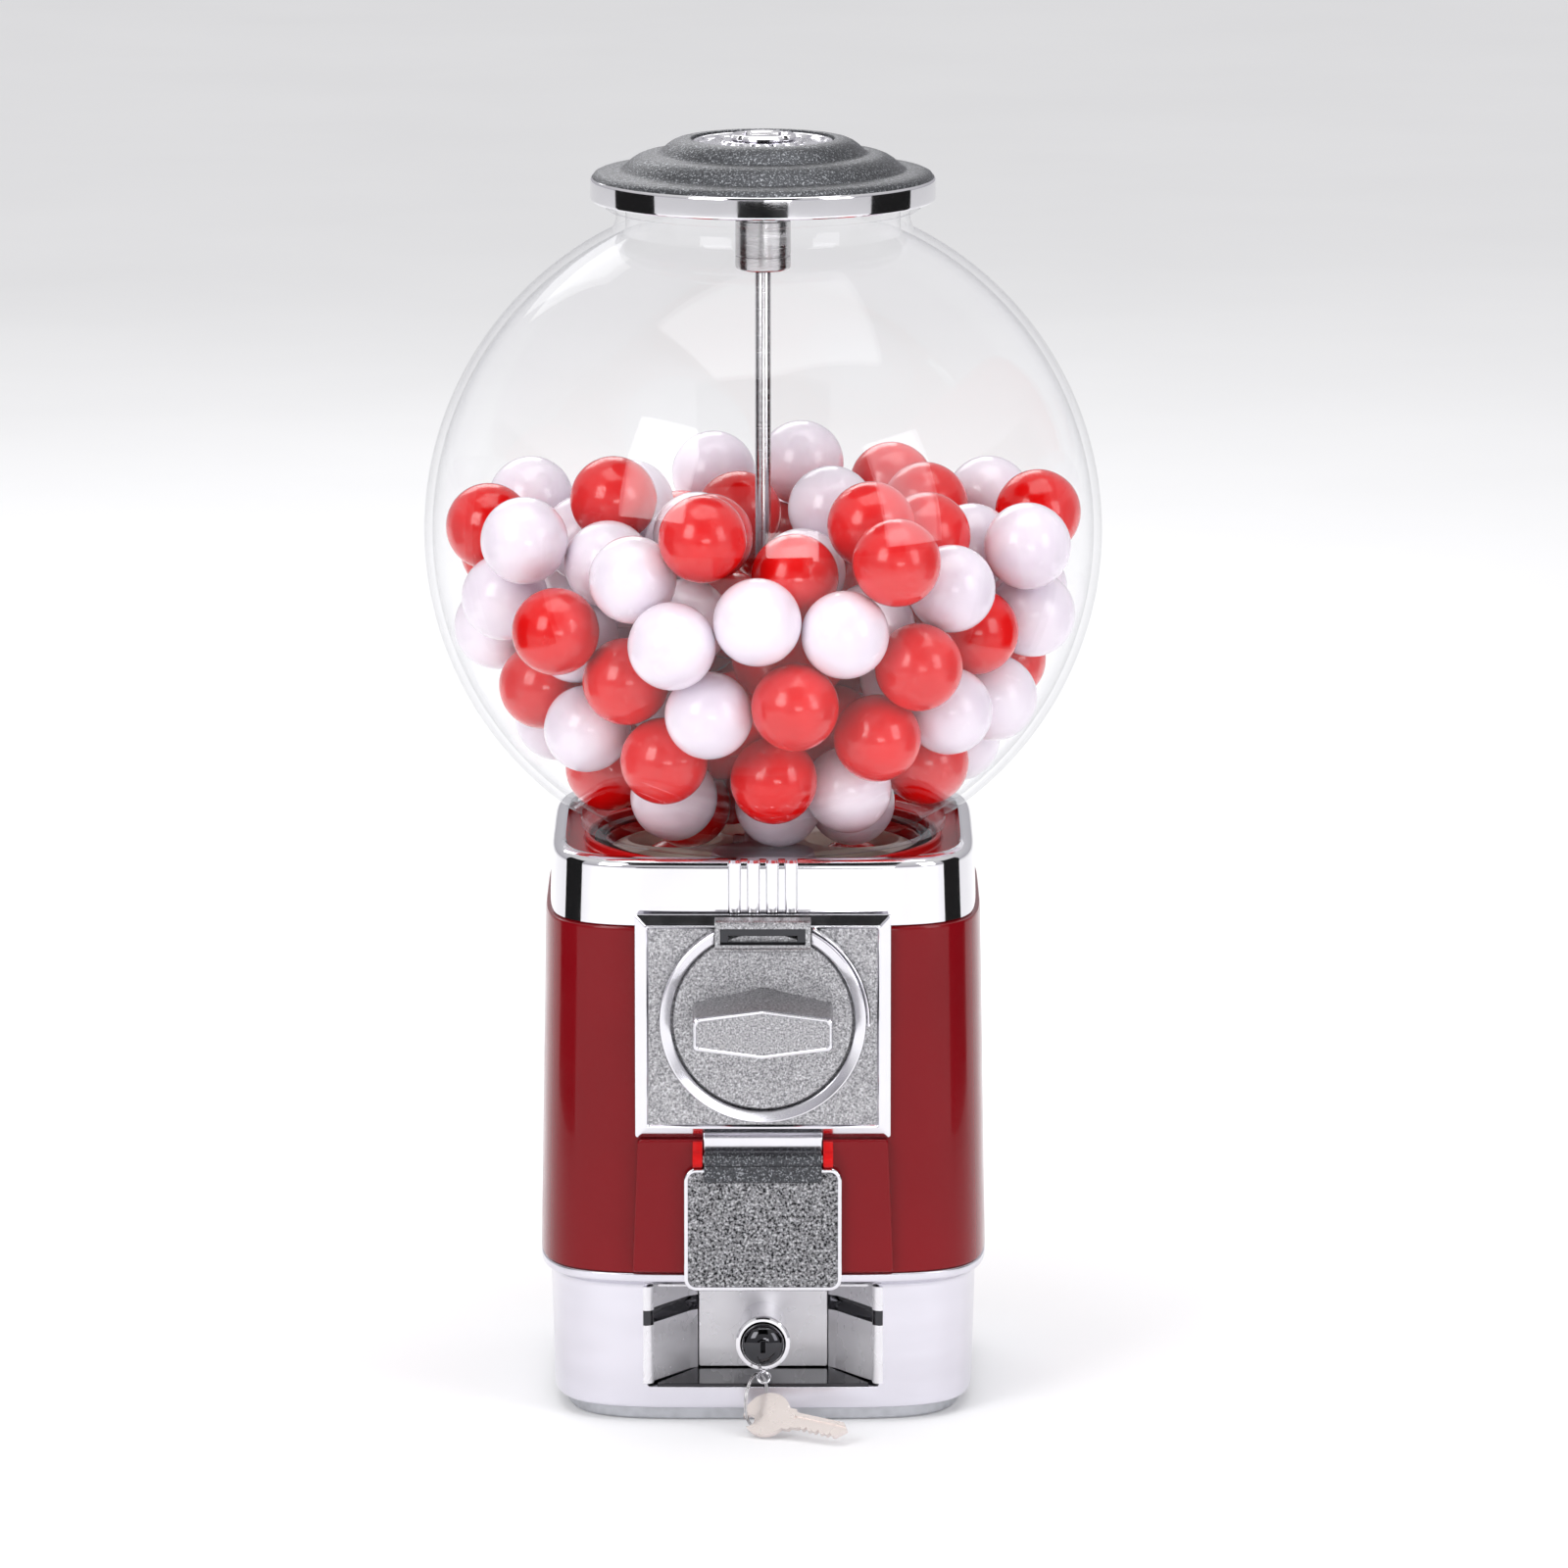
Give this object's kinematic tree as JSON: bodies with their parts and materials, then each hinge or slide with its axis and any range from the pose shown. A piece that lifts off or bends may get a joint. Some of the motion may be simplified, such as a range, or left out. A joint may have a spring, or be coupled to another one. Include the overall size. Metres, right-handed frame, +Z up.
{
  "type": "gumball machine",
  "caption": "Countertop gumball machine with a clear globe, turn-handle coin mechanism, dispensing wheel, chute door, lift-off lid and locked cash drawer.",
  "frame": {"origin": "centre of the base's underside, in the middle of the stand bolt pattern", "axes": "+Z up through the globe, the front with the coin mechanism faces -Y, +X to the right seen from the front"},
  "size_m": [0.25, 0.2498, 0.4661],
  "materials": {
    "base_metal": "satin",
    "red_paint": "gloss",
    "hopper_red": "gloss",
    "chrome": "polished",
    "clear_globe": "clear",
    "granular_metal": "cast",
    "steel": "turned",
    "zinc_sheet": "plated",
    "inner_metal": "matte",
    "gasket_rubber": "matte",
    "wheel_plastic": "moulded",
    "gum_red": "gloss",
    "gum_white": "gloss",
    "bristle": "fibre",
    "brass": "satin",
    "key_nickel": "satin"
  },
  "bodies": {
    "cabinet": {"base_casting": "base_metal", "body_shell": "red_paint", "hopper_plate": "hopper_red", "top_band": "chrome", "recess_surround": "chrome", "coin_bezel": "chrome", "globe": "clear_globe", "coin_plate": "granular_metal", "coin_hood": "granular_metal", "centre_rod": "steel", "door_pin": "steel", "base_plate": "zinc_sheet", "base_screws": "zinc_sheet", "floor_screws": "zinc_sheet", "rod_nut": "zinc_sheet", "rod_washer": "zinc_sheet", "mech_screws": "zinc_sheet", "brush_housing": "zinc_sheet", "drawer_guide": "inner_metal", "floor_plate": "inner_metal", "wheel_floor": "inner_metal", "mech_housing": "inner_metal", "chute": "inner_metal", "globe_seat_gasket": "gasket_rubber", "globe_top_gasket": "gasket_rubber", "balls_red": "gum_red", "balls_white": "gum_white", "wiper_brush": "bristle"},
    "handle": {"handle_knob": "granular_metal", "drive_shaft": "steel", "coin_wheel": "brass", "ratchet_wheel": "zinc_sheet", "drive_pinion": "zinc_sheet", "shaft_clip": "steel"},
    "dispenser": {"dispensing_wheel": "wheel_plastic", "ring_gear": "wheel_plastic", "agitator": "zinc_sheet", "wheel_balls": "gum_red"},
    "pawl": {"pawl": "zinc_sheet", "pawl_spring": "steel"},
    "door": {"chute_door": "granular_metal"},
    "lid": {"lid": "granular_metal", "lid_barrel": "steel", "lid_medallion": "chrome"},
    "lid_knob": {"lid_knob": "chrome"},
    "drawer": {"drawer_front": "base_metal", "drawer_tray": "inner_metal", "lock_body": "chrome", "lock_nut": "zinc_sheet"},
    "lock_plug": {"lock_plug": "chrome", "lock_cam": "zinc_sheet", "cam_screw": "zinc_sheet"},
    "key_ring": {"key_ring": "steel"},
    "key": {"key": "key_nickel"}
  },
  "joints": [
    {"name": "handle_turn", "type": "hinge", "parent": "cabinet", "child": "handle", "pos_m": [0, -0.09, 0.1526], "axis": [0, 1, 0], "continuous": true},
    {"name": "wheel_turn", "type": "hinge", "parent": "cabinet", "child": "dispenser", "pos_m": [0, 0, 0.18], "axis": [0, 0, 1], "continuous": true},
    {"name": "pawl_click", "type": "hinge", "parent": "cabinet", "child": "pawl", "pos_m": [0.024, -0.074, 0.1336], "axis": [0, -1, 0], "range_deg": [0, 8], "stiffness_Nm_per_rad": 0.01, "springref_deg": -11.46},
    {"name": "chute_door_hinge", "type": "hinge", "parent": "cabinet", "child": "door", "pos_m": [0, -0.0882, 0.1012], "axis": [-1, 0, 0], "range_deg": [0, 78]},
    {"name": "lid_lift", "type": "slide", "parent": "cabinet", "child": "lid", "axis": [0, 0, 1], "range_m": [0, 0.06]},
    {"name": "lid_knob_turn", "type": "hinge", "parent": "lid", "child": "lid_knob", "pos_m": [0, 0, 0.46], "axis": [0, 0, 1], "continuous": true},
    {"name": "drawer_slide", "type": "slide", "parent": "cabinet", "child": "drawer", "axis": [0, -1, 0], "range_m": [0, 0.06]},
    {"name": "lock_turn", "type": "hinge", "parent": "drawer", "child": "lock_plug", "pos_m": [0, -0.06, 0.031], "axis": [0, -1, 0], "range_deg": [0, 90]},
    {"name": "key_ring_swing", "type": "hinge", "parent": "drawer", "child": "key_ring", "pos_m": [0.0003, -0.0835, 0.0184], "axis": [-0.9135, 0.4067, 0], "range_deg": [0, 20]},
    {"name": "key_swing", "type": "hinge", "parent": "key_ring", "child": "key", "pos_m": [-0.00522, -0.0959, 0.00482], "axis": [-0.2876, -0.646, 0.7071], "range_deg": [0, 42]}
  ],
  "couplings": [
    {"joint": "wheel_turn", "follows": "handle_turn", "ratio": 0.16667}
  ]
}
